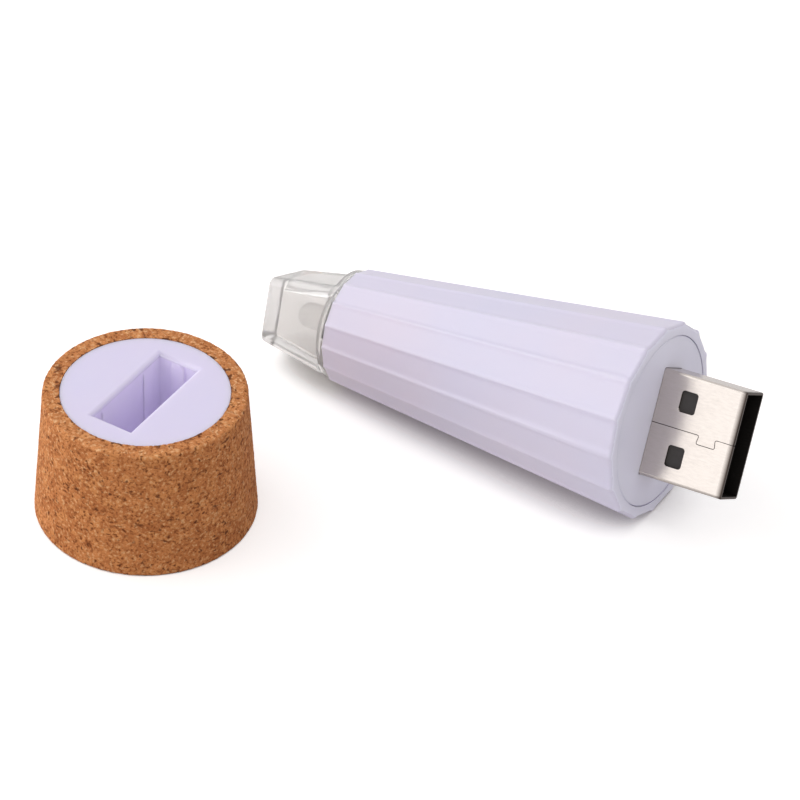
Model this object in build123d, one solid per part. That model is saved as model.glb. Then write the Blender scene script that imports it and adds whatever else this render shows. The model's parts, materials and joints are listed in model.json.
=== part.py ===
"""Cork bottle light: a fluted, tapered light with a clear tip and a USB plug, beside its cork cap.

Sizes are in millimetres. The part stands on the plane Z = 0, with +Z up. The origin is the centre
of the cap's base, +X is the way the plug points, and the cap's slot runs along Y.

The light is modelled upright in its own frame, with its axis along Z, its tip below Z = 0 and its
plug on top. It is then laid on its side. The twisting core has its plug's width along X there.
"""

from build123d import *
import math
import os

# Fluted shell
BODY_LENGTH = 39.7
WIDE_D = 22.4
NARROW_D = 13.5
FLUTE_COUNT = 16
FLUTE_DEPTH_WIDE = 0.3
FLUTE_DEPTH_NARROW = 0.19
FLUTE_FLANK = 3.0
RIDGE_LAND = 1.6
WALL = 1.2
RIM_ROUND = 0.45

# Clear tip
TIP_LENGTH = 9.75
TIP_COLLAR_LENGTH = 1.0
TIP_COLLAR_D = 12.8
TIP_BASE_SIDE = 10.4
TIP_BASE_CORNER = 1.4
TIP_END_SIDE = 7.6
TIP_END_CORNER = 0.9
TIP_END_ROUND = 0.5
TIP_WALL = 1.3
TIP_END_WALL = 2.0
TIP_BORE_D = 6.8
SPIGOT_D = 10.0
SPIGOT_LENGTH = 2.5
TIP_ROLL = -23.9

# Twisting end disc, its pocket in the shell, and the stop that limits the twist
DISC_D = 19.3
DISC_THICKNESS = 2.4
DISC_RECESS = 0.04
DISC_EDGE = 0.08
LEDGE_THICKNESS = 1.4
LEDGE_BORE_D = 16.8
TWIST_RANGE = 90.0
STOP_SPAN = 16.0
STOP_WIDTH = 0.5
STOP_HEIGHT = 0.8
STOP_ANGLE = 90.0
HOOK_SPAN = 26.0
HOOK_WALL = 0.8
HOOK_LIP = 0.3
HOOK_LIP_HEIGHT = 0.9

# USB plug
PLUG_WIDTH = 12.0
PLUG_THICKNESS = 4.5
PLUG_SHEET = 0.3
PLUG_CORNER = 0.35
PLUG_LIP = 0.13
PLUG_REACH = 10.0
PLUG_BURIED = 8.75
PLUG_ROLL = -33.4
WINDOW_WIDTH = 2.4
WINDOW_LENGTH = 2.0
WINDOW_SPACING = 6.1
WINDOW_FROM_TIP = 6.4
WINDOW_CORNER = 0.35
SEAM_GAP = 0.08
DOVETAIL_DEPTH = 1.0
DOVETAIL_NECK = 1.95
DOVETAIL_HEAD = 2.3
DOVETAIL_ROUND = 0.2
DOVETAIL_FROM_TIP = 3.25
TONGUE_THICKNESS = 1.84
TONGUE_RECESS = 1.15
CONTACT_WIDTH = 1.0
CONTACT_THICKNESS = 0.25
CONTACT_OUTER_PITCH = 7.0
CONTACT_INNER_PITCH = 2.0
CONTACT_OUTER_RECESS = 1.3
CONTACT_INNER_RECESS = 2.3
CONTACT_TAIL = 2.2

# Circuit board and what is soldered to it
BOARD_WIDTH = 11.0
BOARD_THICKNESS = 1.0
CHIP_SIZE = (1.6, 2.9, 1.1)
CHIP_LEG_SIZE = (0.6, 0.4, 0.2)
CHIP_LEG_PITCH = 0.95
CHIP_FROM_PLUG = 6.5
RESISTOR_SIZE = (0.8, 1.6, 0.5)
RESISTOR_PITCH = 2.2
RESISTORS_FROM_PLUG = 11.5
CAPACITOR_SIZE = (1.25, 2.0, 1.1)
CAPACITOR_PITCH = 6.4
CAPACITORS_FROM_PLUG = 6.5
INDICATOR_SIZE = (0.8, 1.6, 0.6)
INDICATOR_FROM_PLUG = 3.6
INDICATOR_OFFSET = 4.0

# Battery, on a foam pad under the board
CELL_WIDTH = 8.0
CELL_THICKNESS = 3.6
CELL_LENGTH = 15.5
CELL_ROUND = 1.2
CELL_FROM_PLUG = 1.0
PAD_THICKNESS = 0.3
PAD_MARGIN = 1.0
LEAD_D = 0.9
LEAD_PITCH = 4.0
LEAD_RUN = 1.9
LEAD_BEND = 0.9

# Lamp: a round LED on two legs, seated on a spacer's post
LED_D = 3.0
LED_LENGTH = 5.3
LED_FLANGE_D = 3.8
LED_FLANGE_THICKNESS = 1.0
LED_TIP_REACH = 6.8
LEG_SIDE = 0.5
LEG_PITCH = 2.54
LEG_ON_BOARD = 2.5
SPACER_POST_D = 5.0
SPACER_POST_LENGTH = 5.5
SPACER_D = 9.6
SPACER_THICKNESS = 2.2
SPACER_FOOT_WIDTH = 5.5
SPACER_FOOT_LENGTH = 2.5

# Board carrier and its screws
RAIL_START = 8.0
RAIL_WIDTH = 2.1
RAIL_HEIGHT = 2.6
RAIL_GRIP = 0.55
CARRIER_PLATE_D = 14.6
CARRIER_PLATE_THICKNESS = 1.6
SCREW_D = 1.5
SCREW_BITE = 1.7
SCREW_HEAD_D = 2.8
SCREW_HEAD_HEIGHT = 0.9
SCREW_RECESS_WIDTH = 0.4
SCREW_RECESS_DEPTH = 0.5
SCREW_SPREAD = 10.4

# Twist switch: two sprung wipers on the board and a metal strip in the shell
WIPER_WIDTH = 1.6
WIPER_THICKNESS = 0.3
WIPER_PITCH = 3.2
WIPER_FOOT = 2.0
WIPER_FROM_PLUG = 12.5
STRIP_THICKNESS = 0.3
STRIP_LENGTH = 7.0
STRIP_SPAN = 34.0

# Cork cap and its moulded insert
CAP_HEIGHT = 15.8
CAP_TOP_D = 22.2
CAP_BASE_D = 24.6
CAP_EDGE = 0.3
INSERT_D = 18.4
INSERT_DEPTH = 12.4
INSERT_WALL = 1.4
INSERT_TOP = 1.8
INSERT_RECESS = 0.1
SLOT_LENGTH = 12.6
SLOT_WIDTH = 4.9
SLOT_DEPTH = 11.0
SLOT_EDGE = 0.55
RIB_WIDTH = 1.6
RIB_PROUD = 0.15
RIB_END_PROUD = 0.25
RIB_PITCH = 7.8
RIB_LEAD = 1.2

# How the two pieces are set down
SET_DOWN_GAP = 8.5
CAP_PAST_NECK = 7.25

# Clearances
RUNNING_GAP = 0.07
THRUST_GAP = 0.05
SEAT_GAP = 0.05
CONTACT_GAP = 0.12
STOP_GAP = 1.5

# Places along the light's axis that several pieces share
DISC_TOP = BODY_LENGTH - DISC_RECESS
DISC_BOTTOM = DISC_TOP - DISC_THICKNESS
POCKET_FLOOR = DISC_BOTTOM - THRUST_GAP
LEDGE_BOTTOM = POCKET_FLOOR - LEDGE_THICKNESS
PLUG_TIP = BODY_LENGTH + PLUG_REACH
PLUG_REAR = BODY_LENGTH - PLUG_BURIED
BOARD_END = PLUG_REAR - SEAT_GAP
BOARD_TOP = -LEG_SIDE / 2
BOARD_UNDER = BOARD_TOP - BOARD_THICKNESS
LED_BASE = LED_LENGTH - LED_TIP_REACH
SPACER_START = LED_BASE + SPACER_POST_LENGTH
SPACER_END = SPACER_START + SPACER_THICKNESS
BOARD_START = SPACER_END + SPACER_FOOT_LENGTH + SEAT_GAP
PLATE_BOTTOM = DISC_BOTTOM - CARRIER_PLATE_THICKNESS
CELL_TOP = BOARD_UNDER - PAD_THICKNESS
CELL_END = BOARD_END - CELL_FROM_PLUG
CELL_START = CELL_END - CELL_LENGTH
TONGUE_NEAR = PLUG_THICKNESS / 2 - PLUG_SHEET - SEAT_GAP
TONGUE_FAR = TONGUE_NEAR - TONGUE_THICKNESS


def ridge_radius(z):
    """Radius of the shell's ridges at a height along the light's axis."""
    return (NARROW_D + (WIDE_D - NARROW_D) * z / BODY_LENGTH) / 2


def cavity_radius(z):
    """Radius of the shell's hollow at a height along the light's axis."""
    depth = FLUTE_DEPTH_NARROW + (FLUTE_DEPTH_WIDE - FLUTE_DEPTH_NARROW) * z / BODY_LENGTH
    return ridge_radius(z) - depth - WALL


def turned(radius, angle, z=0.0):
    """Point at a radius and an angle in degrees about the axis."""
    return (radius * math.cos(math.radians(angle)), radius * math.sin(math.radians(angle)), z)


def column(diameter, low, high):
    """Round solid on the axis between two heights."""
    return Pos(0, 0, (low + high) / 2) * Cylinder(diameter / 2, high - low)


def block(x, y, z):
    """Box between pairs of X, Y and Z values."""
    place = Pos(sum(x) / 2, sum(y) / 2, sum(z) / 2)
    return place * Box(x[1] - x[0], y[1] - y[0], z[1] - z[0])


def ring_sector(inner, outer, low, high, middle, span):
    """Part of a ring about the axis, from its radii, heights, middle angle and span in degrees."""
    section = Plane.XZ * make_face(Polyline((inner, low), (outer, low), (outer, high), (inner, high), close=True))
    return Rot(0, 0, middle - span / 2) * revolve(section, Axis.Z, span)


def revolved(points):
    """Solid of revolution about the axis from a closed outline of (radius, height) points."""
    return revolve(Plane.XZ * make_face(Polyline(*points, close=True)), Axis.Z)


def flute_outline(radius, depth, z):
    """Closed outline of flat-floored flutes with steep flanks and narrow ridges, two of them lowest."""
    step = 360 / FLUTE_COUNT
    land = RIDGE_LAND / 2
    floor_half = step / 2 - FLUTE_FLANK
    outline = []
    for index in range(FLUTE_COUNT):
        middle = index * step
        end = middle + step / 2
        floor = [turned((radius - depth) / math.cos(math.radians(angle)), middle + angle)
                 for angle in (-floor_half, -floor_half / 2, 0, floor_half / 2, floor_half)]
        outline.append(Spline(turned(radius, middle - step / 2 + land), *floor, turned(radius, end - land)))
        outline.append(ThreePointArc(turned(radius, end - land), turned(radius, end), turned(radius, end + land)))
    return Pos(0, 0, z) * make_face(Curve() + outline)


def fluted_shell():
    """Tapered shell: flutes outside, a pocket and ledge for the disc, a seat for the tip."""
    wide = flute_outline(WIDE_D / 2, FLUTE_DEPTH_WIDE, BODY_LENGTH)
    narrow = flute_outline(NARROW_D / 2, FLUTE_DEPTH_NARROW, 0)
    outside = loft([narrow, wide], ruled=True)
    outside = fillet(outside.faces().sort_by(Axis.Z)[-1].edges(), RIM_ROUND)
    pocket = DISC_D / 2 + RUNNING_GAP
    seat = SPIGOT_D / 2 + SEAT_GAP
    hollow = revolved([
        (0, 0), (seat, 0), (seat, SPIGOT_LENGTH), (cavity_radius(SPIGOT_LENGTH), SPIGOT_LENGTH),
        (cavity_radius(LEDGE_BOTTOM), LEDGE_BOTTOM), (LEDGE_BORE_D / 2, LEDGE_BOTTOM),
        (LEDGE_BORE_D / 2, POCKET_FLOOR), (pocket, POCKET_FLOOR), (pocket, BODY_LENGTH), (0, BODY_LENGTH)])
    stop_inner, stop_outer = stop_radii()
    groove = ring_sector(LEDGE_BORE_D / 2 - SEAT_GAP, stop_outer + RUNNING_GAP,
                         POCKET_FLOOR - STOP_HEIGHT - RUNNING_GAP, POCKET_FLOOR,
                         PLUG_ROLL + STOP_ANGLE - TWIST_RANGE / 2, TWIST_RANGE + STOP_SPAN + 2 * STOP_GAP)
    return outside - hollow - groove


def stop_radii():
    """Inner and outer radius of the disc's stop lug, which runs in a groove in the ledge."""
    outer = DISC_D / 2 - STOP_WIDTH / 2
    return outer - STOP_WIDTH, outer


def clear_tip():
    """Clear tip: a hollow square frustum on a round collar, with a spigot that seats in the shell."""
    collar = revolved([(0, 0), (NARROW_D / 2 - FLUTE_DEPTH_NARROW, 0), (TIP_COLLAR_D / 2, -TIP_COLLAR_LENGTH),
                       (0, -TIP_COLLAR_LENGTH)])
    outer = loft([
        Pos(0, 0, -TIP_LENGTH) * RectangleRounded(TIP_END_SIDE, TIP_END_SIDE, TIP_END_CORNER),
        Pos(0, 0, -TIP_COLLAR_LENGTH) * RectangleRounded(TIP_BASE_SIDE, TIP_BASE_SIDE, TIP_BASE_CORNER)])
    outer = fillet(outer.faces().sort_by(Axis.Z)[0].edges(), TIP_END_ROUND)
    slope = (TIP_BASE_SIDE - TIP_END_SIDE) / (TIP_LENGTH - TIP_COLLAR_LENGTH)
    end_side = TIP_END_SIDE + slope * TIP_END_WALL - 2 * TIP_WALL
    base_side = TIP_BASE_SIDE - 2 * TIP_WALL
    cavity = loft([
        Pos(0, 0, TIP_END_WALL - TIP_LENGTH) * RectangleRounded(end_side, end_side, TIP_END_CORNER / 2),
        Pos(0, 0, -TIP_COLLAR_LENGTH) * RectangleRounded(base_side, base_side, TIP_BASE_CORNER / 2)])
    tip = collar + outer + column(SPIGOT_D, 0, SPIGOT_LENGTH)
    tip = tip - cavity - column(TIP_BORE_D, -TIP_COLLAR_LENGTH, SPIGOT_LENGTH)
    return Rot(0, 0, TIP_ROLL) * tip


def switch_strip():
    """Curved metal strip on the shell's wall that joins the two wipers when the core is turned on."""
    middle = BOARD_END - WIPER_FROM_PLUG
    low, high = middle - STRIP_LENGTH / 2, middle + STRIP_LENGTH / 2
    outer_low, outer_high = cavity_radius(low) - SEAT_GAP, cavity_radius(high) - SEAT_GAP
    section = Plane.XZ * make_face(Polyline(
        (outer_low - STRIP_THICKNESS, low), (outer_low, low), (outer_high, high),
        (outer_high - STRIP_THICKNESS, high), close=True))
    return Rot(0, 0, PLUG_ROLL - TWIST_RANGE - STRIP_SPAN / 2) * revolve(section, Axis.Z, STRIP_SPAN)


def end_disc():
    """Disc that carries the plug. Its hooks snap under the shell's ledge and its lug stops the twist."""
    disc = column(DISC_D, DISC_BOTTOM, DISC_TOP)
    disc = chamfer(disc.faces().sort_by(Axis.Z)[-1].edges(), DISC_EDGE)
    hook_outer = LEDGE_BORE_D / 2 - RUNNING_GAP
    lip_top = LEDGE_BOTTOM - RUNNING_GAP
    for angle in (0, 180):
        disc += ring_sector(hook_outer - HOOK_WALL, hook_outer, lip_top - HOOK_LIP_HEIGHT, DISC_BOTTOM,
                            angle, HOOK_SPAN)
        disc += ring_sector(hook_outer - HOOK_WALL, LEDGE_BORE_D / 2 + HOOK_LIP, lip_top - HOOK_LIP_HEIGHT,
                            lip_top, angle, HOOK_SPAN)
    stop_inner, stop_outer = stop_radii()
    disc += ring_sector(stop_inner, stop_outer, DISC_BOTTOM - STOP_HEIGHT, DISC_BOTTOM, STOP_ANGLE, STOP_SPAN)
    disc -= plug_passage(DISC_BOTTOM, DISC_TOP)
    for y in (-SCREW_SPREAD / 2, SCREW_SPREAD / 2):
        disc -= Pos(0, y, 0) * column(SCREW_D + 2 * SEAT_GAP, DISC_BOTTOM, DISC_BOTTOM + SCREW_BITE + SEAT_GAP)
    return disc


def plug_passage(low, high):
    """Rounded rectangular hole that the plug's shell passes through."""
    hole = RectangleRounded(PLUG_WIDTH + 2 * SEAT_GAP, PLUG_THICKNESS + 2 * SEAT_GAP, PLUG_CORNER)
    return extrude(Pos(0, 0, low) * hole, high - low)


def usb_shell():
    """Folded steel sleeve of the plug, with spring windows in both wide faces and a dovetailed seam."""
    inner = RectangleRounded(PLUG_WIDTH - 2 * PLUG_SHEET, PLUG_THICKNESS - 2 * PLUG_SHEET, PLUG_CORNER - PLUG_SHEET)
    outer = RectangleRounded(PLUG_WIDTH, PLUG_THICKNESS, PLUG_CORNER)
    sleeve = extrude(Pos(0, 0, PLUG_REAR) * (outer - inner), PLUG_TIP - PLUG_REAR)
    sleeve = fillet(sleeve.faces().sort_by(Axis.Z)[-1].outer_wire().edges(), PLUG_LIP)
    window = Plane.XZ * RectangleRounded(WINDOW_WIDTH, WINDOW_LENGTH, WINDOW_CORNER)
    opening = extrude(window, PLUG_THICKNESS, both=True)
    for x in (-WINDOW_SPACING / 2, WINDOW_SPACING / 2):
        sleeve -= Pos(x, 0, PLUG_TIP - WINDOW_FROM_TIP) * opening
    return sleeve - seam_cut()


def seam_cut():
    """Narrow cut along the middle of the seam face, stepping round the dovetail that locks it."""
    middle = PLUG_TIP - DOVETAIL_FROM_TIP
    neck, head = DOVETAIL_NECK / 2, DOVETAIL_HEAD / 2
    line = [(0, PLUG_REAR), (0, middle - neck), (-DOVETAIL_DEPTH, middle - head),
            (-DOVETAIL_DEPTH, middle + head), (0, middle + neck), (0, PLUG_TIP)]
    face = Plane.XZ * trace(FilletPolyline(*line, radius=DOVETAIL_ROUND), SEAM_GAP)
    above = Plane.XZ * Pos(0, PLUG_TIP) * Rectangle(2 * SEAM_GAP, SEAM_GAP)
    below = Plane.XZ * Pos(0, PLUG_REAR) * Rectangle(2 * SEAM_GAP, SEAM_GAP)
    slit = extrude(face, -PLUG_THICKNESS) + extrude(above, -PLUG_THICKNESS) + extrude(below, -PLUG_THICKNESS)
    return slit


def usb_tongue():
    """Moulded tongue that carries the contacts against the seam side of the plug, with a rear block."""
    half_width = PLUG_WIDTH / 2 - PLUG_SHEET - SEAT_GAP
    tongue = block((-half_width, half_width), (TONGUE_FAR, TONGUE_NEAR), (PLUG_REAR, PLUG_TIP - TONGUE_RECESS))
    far_wall = -PLUG_THICKNESS / 2 + PLUG_SHEET + SEAT_GAP
    rear = block((-half_width, half_width), (far_wall, TONGUE_FAR), (PLUG_REAR, BODY_LENGTH))
    body = tongue + rear
    body = chamfer(body.edges().filter_by(Axis.Z), PLUG_CORNER - PLUG_SHEET)
    for x, length in contact_rows():
        body -= contact_shape(x, length, SEAT_GAP)
    return body


def contact_rows():
    """Sideways place and front recess of each contact: the outer pair reaches further forward."""
    outer, inner = CONTACT_OUTER_PITCH / 2, CONTACT_INNER_PITCH / 2
    return [(-outer, CONTACT_OUTER_RECESS), (-inner, CONTACT_INNER_RECESS),
            (inner, CONTACT_INNER_RECESS), (outer, CONTACT_OUTER_RECESS)]


def contact_shape(x, recess, gap=0.0):
    """One contact strip on the tongue's face, with a tail that lies on the board."""
    half = CONTACT_WIDTH / 2 + gap
    tail_top = BOARD_TOP + CONTACT_THICKNESS
    front = PLUG_TIP - TONGUE_RECESS - recess
    blade = block((x - half, x + half), (TONGUE_FAR - gap, TONGUE_FAR + CONTACT_THICKNESS),
                  (BOARD_END - CONTACT_TAIL, front + gap))
    low, high = sorted((BOARD_TOP, TONGUE_FAR))
    foot = block((x - half, x + half), (low, max(high, tail_top)),
                 (BOARD_END - CONTACT_TAIL, BOARD_END - CONTACT_TAIL + CONTACT_WIDTH))
    return blade + foot


def usb_contacts():
    """The plug's four contacts."""
    return Compound(children=[contact_shape(x, recess) for x, recess in contact_rows()])


def circuit_board():
    """Board in line with the axis, behind the plug."""
    half = BOARD_WIDTH / 2
    return block((-half, half), (BOARD_UNDER, BOARD_TOP), (BOARD_START, BOARD_END))


def on_board(size, x, from_plug):
    """Box of a component that sits on top of the board, from (across, along, height)."""
    across, along, height = size
    middle = BOARD_END - from_plug
    return block((x - across / 2, x + across / 2), (BOARD_TOP, BOARD_TOP + height),
                 (middle - along / 2, middle + along / 2))


def charge_chip():
    """Charger chip with three legs a side."""
    chip = on_board(CHIP_SIZE, 0, CHIP_FROM_PLUG)
    across, along, height = CHIP_LEG_SIZE
    reach = CHIP_SIZE[0] / 2 + across / 2
    for side in (-reach, reach):
        for row in (-1, 0, 1):
            chip += on_board(CHIP_LEG_SIZE, side, CHIP_FROM_PLUG + row * CHIP_LEG_PITCH)
    return chip


def resistors():
    """Row of three chip resistors."""
    return Compound(children=[on_board(RESISTOR_SIZE, row * RESISTOR_PITCH, RESISTORS_FROM_PLUG)
                              for row in (-1, 0, 1)])


def capacitors():
    """Two chip capacitors, one each side of the charger chip."""
    return Compound(children=[on_board(CAPACITOR_SIZE, side * CAPACITOR_PITCH / 2, CAPACITORS_FROM_PLUG)
                              for side in (-1, 1)])


def charge_indicator():
    """Small lamp that glows while the battery charges."""
    return on_board(INDICATOR_SIZE, INDICATOR_OFFSET, INDICATOR_FROM_PLUG)


def battery_cell():
    """Flat pouch cell under the board, with rounded long edges."""
    half = CELL_WIDTH / 2
    cell = block((-half, half), (CELL_TOP - CELL_THICKNESS, CELL_TOP), (CELL_START, CELL_END))
    return fillet(cell.edges().filter_by(Axis.Z), CELL_ROUND)


def battery_pad():
    """Foam pad that sticks the cell to the board."""
    half = CELL_WIDTH / 2 - PAD_MARGIN
    return block((-half, half), (CELL_TOP, BOARD_UNDER), (CELL_START + PAD_MARGIN, CELL_END - PAD_MARGIN))


def battery_lead(side):
    """Short wire from the cell's end, bent up to a pad under the board."""
    x = side * LEAD_PITCH / 2
    y = CELL_TOP - CELL_THICKNESS / 2
    route = FilletPolyline((x, y, CELL_START), (x, y, CELL_START - LEAD_RUN), (x, BOARD_UNDER, CELL_START - LEAD_RUN),
                           radius=LEAD_BEND)
    section = Plane(origin=(x, y, CELL_START), z_dir=(0, 0, -1)) * Circle(LEAD_D / 2)
    return sweep(section, path=route)


def led_lamp():
    """Round LED: a domed body on a flange."""
    radius = LED_D / 2
    dome_base = -LED_TIP_REACH + radius
    body = column(LED_D, dome_base, LED_BASE) + Pos(0, 0, dome_base) * Sphere(radius)
    return body + column(LED_FLANGE_D, LED_BASE - LED_FLANGE_THICKNESS, LED_BASE)


def led_legs():
    """Two square legs from the LED to the top of the board."""
    high = BOARD_START + LEG_ON_BOARD
    half = LEG_SIDE / 2
    return Compound(children=[block((x - half, x + half), (-half, half), (LED_BASE, high))
                              for x in (-LEG_PITCH / 2, LEG_PITCH / 2)])


def led_spacer():
    """Round spacer with a post that the LED's flange stands on, and holes for its legs."""
    spacer = column(SPACER_POST_D, LED_BASE, SPACER_START) + column(SPACER_D, SPACER_START, SPACER_END)
    half_hole = LEG_SIDE / 2 + SEAT_GAP
    for x in (-LEG_PITCH / 2, LEG_PITCH / 2):
        spacer -= block((x - half_hole, x + half_hole), (-half_hole, half_hole), (LED_BASE, SPACER_END))
    half = SPACER_FOOT_WIDTH / 2
    foot = block((-half, half), (BOARD_UNDER, BOARD_TOP), (SPACER_END, SPACER_END + SPACER_FOOT_LENGTH))
    return spacer + foot


def board_carrier():
    """Plate screwed under the disc, with two rails that grip the board's edges."""
    carrier = column(CARRIER_PLATE_D, PLATE_BOTTOM, DISC_BOTTOM)
    inner = BOARD_WIDTH / 2 - RAIL_GRIP
    board_middle = (BOARD_TOP + BOARD_UNDER) / 2
    for side in (-1, 1):
        x = sorted((side * inner, side * (inner + RAIL_WIDTH)))
        carrier += block(x, (board_middle - RAIL_HEIGHT / 2, board_middle + RAIL_HEIGHT / 2),
                         (BOARD_END - RAIL_START, DISC_BOTTOM))
    carrier -= plug_passage(PLUG_REAR - SEAT_GAP, DISC_BOTTOM)
    half = BOARD_WIDTH / 2 + SEAT_GAP
    carrier -= block((-half, half), (BOARD_UNDER - SEAT_GAP, BOARD_TOP + SEAT_GAP),
                     (BOARD_START, BOARD_END + SEAT_GAP))
    for y in (-SCREW_SPREAD / 2, SCREW_SPREAD / 2):
        carrier -= Pos(0, y, 0) * column(SCREW_D + 2 * SEAT_GAP, PLATE_BOTTOM, DISC_BOTTOM)
    return carrier


def carrier_screws():
    """Two small screws that hold the carrier to the disc, with cross recesses."""
    screw = column(SCREW_D, PLATE_BOTTOM, DISC_BOTTOM + SCREW_BITE)
    screw += column(SCREW_HEAD_D, PLATE_BOTTOM - SCREW_HEAD_HEIGHT, PLATE_BOTTOM)
    recess = PLATE_BOTTOM - SCREW_HEAD_HEIGHT + SCREW_RECESS_DEPTH / 2
    length = SCREW_HEAD_D * 2 / 3
    screw -= Pos(0, 0, recess) * Box(length, SCREW_RECESS_WIDTH, SCREW_RECESS_DEPTH)
    screw -= Pos(0, 0, recess) * Box(SCREW_RECESS_WIDTH, length, SCREW_RECESS_DEPTH)
    return Compound(children=[Pos(0, y, 0) * screw for y in (-SCREW_SPREAD / 2, SCREW_SPREAD / 2)])


def switch_wipers():
    """Two bent spring fingers at the board's edge, whose tips brush the shell's wall."""
    wipers = []
    for side in (-1, 1):
        middle = BOARD_END - WIPER_FROM_PLUG + side * WIPER_PITCH / 2
        reach = cavity_radius(middle - WIPER_WIDTH / 2) - SEAT_GAP - STRIP_THICKNESS - CONTACT_GAP
        low, high = middle - WIPER_WIDTH / 2, middle + WIPER_WIDTH / 2
        foot = block((BOARD_WIDTH / 2 - WIPER_FOOT, BOARD_WIDTH / 2 + WIPER_THICKNESS),
                     (BOARD_TOP, BOARD_TOP + WIPER_THICKNESS), (low, high))
        arm = block((BOARD_WIDTH / 2, BOARD_WIDTH / 2 + WIPER_THICKNESS), (BOARD_TOP, BOARD_TOP + 3 * WIPER_THICKNESS),
                    (low, high))
        tip = block((BOARD_WIDTH / 2, reach), (BOARD_TOP + 2 * WIPER_THICKNESS, BOARD_TOP + 3 * WIPER_THICKNESS),
                    (low, high))
        wipers.append(foot + arm + tip)
    return Compound(children=wipers)


def cork_cap():
    """Tapered cork with a blind bore for the insert in its narrow end."""
    cork = revolved([(0, 0), (CAP_BASE_D / 2, 0), (CAP_TOP_D / 2, CAP_HEIGHT), (0, CAP_HEIGHT)])
    cork = fillet(cork.edges().filter_by(GeomType.CIRCLE), CAP_EDGE)
    return cork - column(INSERT_D + 2 * SEAT_GAP, CAP_HEIGHT - INSERT_DEPTH, CAP_HEIGHT)


def cap_insert():
    """Moulded insert: a skirt, a top and a box round the slot, cored out from below, with grip ribs."""
    top = CAP_HEIGHT - INSERT_RECESS
    bottom = CAP_HEIGHT - INSERT_DEPTH
    insert = column(INSERT_D, bottom, top)
    core = column(INSERT_D - 2 * INSERT_WALL, bottom, top - INSERT_TOP)
    core -= block((-SLOT_WIDTH / 2 - INSERT_WALL, SLOT_WIDTH / 2 + INSERT_WALL),
                  (-SLOT_LENGTH / 2 - INSERT_WALL, SLOT_LENGTH / 2 + INSERT_WALL), (bottom, top))
    slot = block((-SLOT_WIDTH / 2, SLOT_WIDTH / 2), (-SLOT_LENGTH / 2, SLOT_LENGTH / 2), (top - SLOT_DEPTH, top))
    insert = insert - core - slot
    mouth = [edge for edge in insert.faces().sort_by(Axis.Z)[-1].edges() if edge.geom_type == GeomType.LINE]
    insert = fillet(mouth, SLOT_EDGE)
    return insert + slot_ribs(top - SLOT_DEPTH, top)


def slot_rib(wall, proud, low, top):
    """One rib on the slot's wall at +X, with a sloping lead under the rounded mouth."""
    buried = wall + INSERT_WALL / 2
    outline = Polyline((buried, 0, low), (wall - proud, 0, low), (wall - proud, 0, top - RIB_LEAD),
                       (wall, 0, top - SLOT_EDGE), (buried, 0, top - SLOT_EDGE), close=True)
    return extrude(make_face(outline), RIB_WIDTH / 2, both=True)


def slot_ribs(low, top):
    """Flat ribs on the slot's walls that grip the plug, two on each long wall and one at each end."""
    ribs = []
    for turn in (0, 180):
        ribs.append(Rot(0, 0, turn + 90) * slot_rib(SLOT_LENGTH / 2, RIB_END_PROUD, low, top))
        for row in (-RIB_PITCH / 2, RIB_PITCH / 2):
            ribs.append(Rot(0, 0, turn) * Pos(0, row, 0) * slot_rib(SLOT_WIDTH / 2, RIB_PROUD, low, top))
    return ribs


def light_place():
    """Where the light lies: its two lowest ridges on the floor, its plug towards +X."""
    ridge_share = math.cos(math.radians(180 / FLUTE_COUNT - RIDGE_LAND / 2))
    tilt = math.atan((WIDE_D - NARROW_D) / 2 * ridge_share / BODY_LENGTH)
    axis = Vector(math.cos(tilt), 0, math.sin(tilt))
    up = Vector(-math.sin(tilt), 0, math.cos(tilt))
    side = CAP_BASE_D / 2 + SET_DOWN_GAP + WIDE_D / 2
    foot = Vector(CAP_PAST_NECK, side, 0)
    neck = foot + up * (NARROW_D / 2 * ridge_share)
    return Plane(origin=neck, x_dir=up, z_dir=axis)


def build():
    """All nodes by name, in place."""
    lying = light_place().location
    twisted = lying * Rot(0, 0, PLUG_ROLL)
    housing = {"fluted_shell": fluted_shell(), "clear_tip": clear_tip(), "switch_strip": switch_strip()}
    core = {
        "end_disc": end_disc(), "usb_shell": usb_shell(), "usb_tongue": usb_tongue(), "usb_contacts": usb_contacts(),
        "circuit_board": circuit_board(), "charge_chip": charge_chip(), "resistors": resistors(),
        "capacitors": capacitors(), "charge_indicator": charge_indicator(), "battery_cell": battery_cell(),
        "battery_pad": battery_pad(), "battery_lead_positive": battery_lead(1),
        "battery_lead_negative": battery_lead(-1), "led_lamp": led_lamp(), "led_legs": led_legs(),
        "led_spacer": led_spacer(), "board_carrier": board_carrier(), "carrier_screws": carrier_screws(),
        "switch_wipers": switch_wipers()}
    nodes = {name: lying * shape for name, shape in housing.items()}
    nodes.update({name: twisted * shape for name, shape in core.items()})
    nodes.update({"cork_cap": cork_cap(), "cap_insert": cap_insert()})
    return nodes


NODES = build()
os.makedirs("parts", exist_ok=True)
for node, solid in NODES.items():
    export_step(solid, f"parts/{node}.step")
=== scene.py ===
# %% [markdown]
# # A cork bottle light
# The object is a light that takes the place of a bottle's cork. A tapered, fluted body carries a clear
# tip at one end and a USB plug at the other, and a cork cap covers the plug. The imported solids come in
# as a fixed frame, in metres, and this lesson dresses them: it models what a solid can't show, such as
# ground cork, and gives every piece a finish built from nodes.

# %% Load the solids
import json
import math

import bmesh
import bpy
from mathutils import Matrix, Vector


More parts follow.
